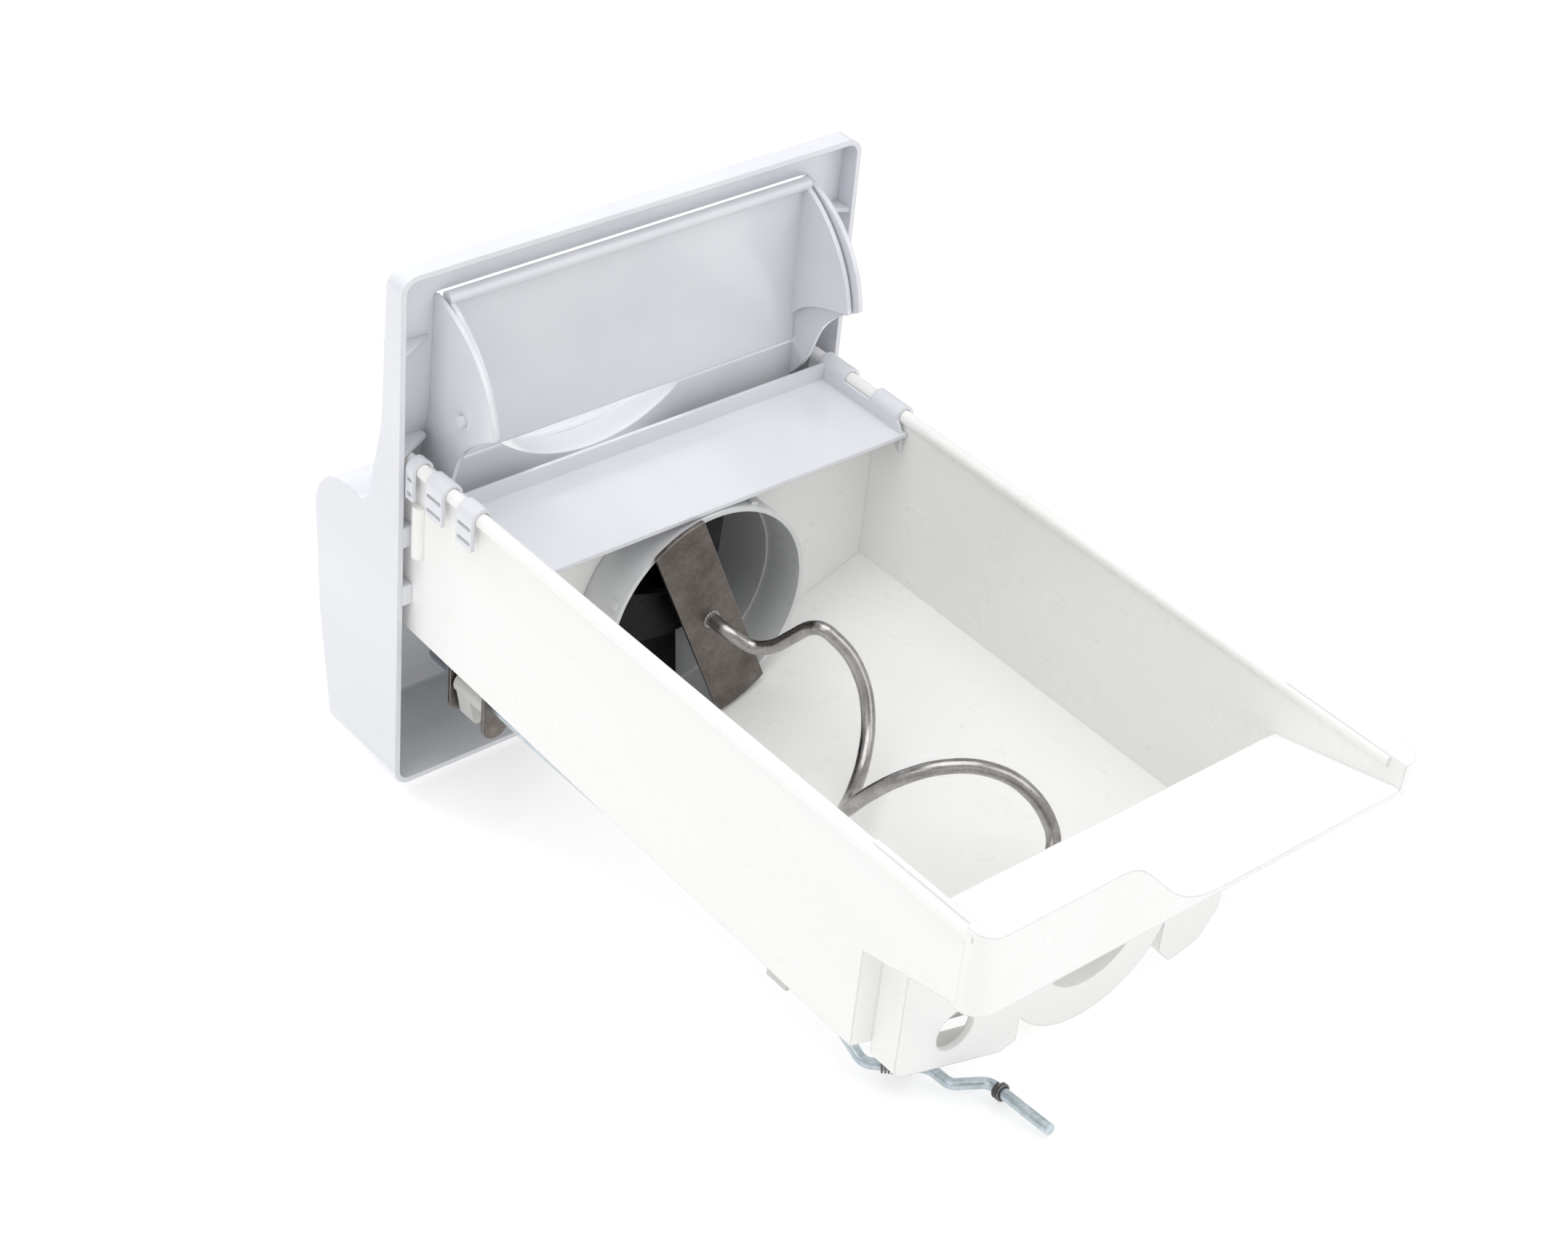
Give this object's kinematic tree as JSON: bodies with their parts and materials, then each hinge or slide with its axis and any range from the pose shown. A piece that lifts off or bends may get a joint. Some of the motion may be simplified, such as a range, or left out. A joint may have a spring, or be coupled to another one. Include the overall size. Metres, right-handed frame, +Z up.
{
  "type": "ice storage bin with wire auger and crusher",
  "caption": "Slide-out freezer ice bin: hollow front cover with access flap, trough with a wire auger, crusher drum, discharge chute and selector rod.",
  "frame": {"origin": "middle of the front cover's width, in the plane of its rear rim, level with its underside", "axes": "+X towards the bin's taller side wall, +Y back along the bin and the auger, +Z up as installed"},
  "size_m": [0.24, 0.4167, 0.258],
  "materials": {
    "cover_plastic": "glossy cool white",
    "bin_plastic": "milky, slightly translucent, glossy",
    "drum_plastic": "smooth light grey-white",
    "bearing_plastic": "matt white",
    "blade_steel": "near-black satin",
    "plate_steel": "dark mottled steel",
    "bright_wire": "bright drawn stainless wire",
    "zinc_steel": "zinc-plated, blue-white",
    "spring_steel": "dark spring steel"
  },
  "bodies": {
    "bin": {"front_cover": "cover_plastic", "access_frame": "cover_plastic", "ice_bin": "bin_plastic", "deflector_tray": "cover_plastic", "crusher_housing": "drum_plastic", "front_bearing": "bearing_plastic", "rear_bush": "bearing_plastic", "fixed_blades": "blade_steel", "discharge_chute": "drum_plastic", "rod_bracket": "plate_steel", "rear_rod_guide": "bearing_plastic", "cover_screws": "zinc_steel", "housing_screws": "zinc_steel"},
    "flap": {"access_flap": "cover_plastic"},
    "auger": {"auger_wire": "bright_wire", "auger_plate": "plate_steel", "crusher_shaft": "zinc_steel", "rotor_blade_rear": "blade_steel", "rotor_blade_middle": "blade_steel", "rotor_blade_front": "blade_steel", "blade_spacers": "blade_steel", "shaft_washer": "zinc_steel", "shaft_nut": "zinc_steel", "drive_coupler": "bearing_plastic"},
    "selector": {"selector_rod": "zinc_steel", "rod_cam": "bearing_plastic", "rod_spring": "spring_steel", "rod_clip": "spring_steel"},
    "gate": {"ice_gate": "drum_plastic", "gate_lever": "drum_plastic"}
  },
  "joints": [
    {"name": "flap_hinge", "type": "hinge", "parent": "bin", "child": "flap", "pos_m": [0, 0.0135, 0.193], "axis": [-1, 0, 0], "range_deg": [0, 30]},
    {"name": "auger_spin", "type": "hinge", "parent": "bin", "child": "auger", "pos_m": [0, 0, 0.085], "axis": [0, 1, 0], "continuous": true},
    {"name": "selector_turn", "type": "hinge", "parent": "bin", "child": "selector", "pos_m": [0.092, 0, 0.055], "axis": [0, 1, 0], "range_deg": [0, 12]},
    {"name": "gate_swing", "type": "hinge", "parent": "bin", "child": "gate", "pos_m": [0.025, 0, 0.028], "axis": [0, 1, 0], "range_deg": [-12, 0]}
  ],
  "couplings": [
    {"joint": "gate_swing", "follows": "selector_turn", "ratio": -0.958}
  ]
}
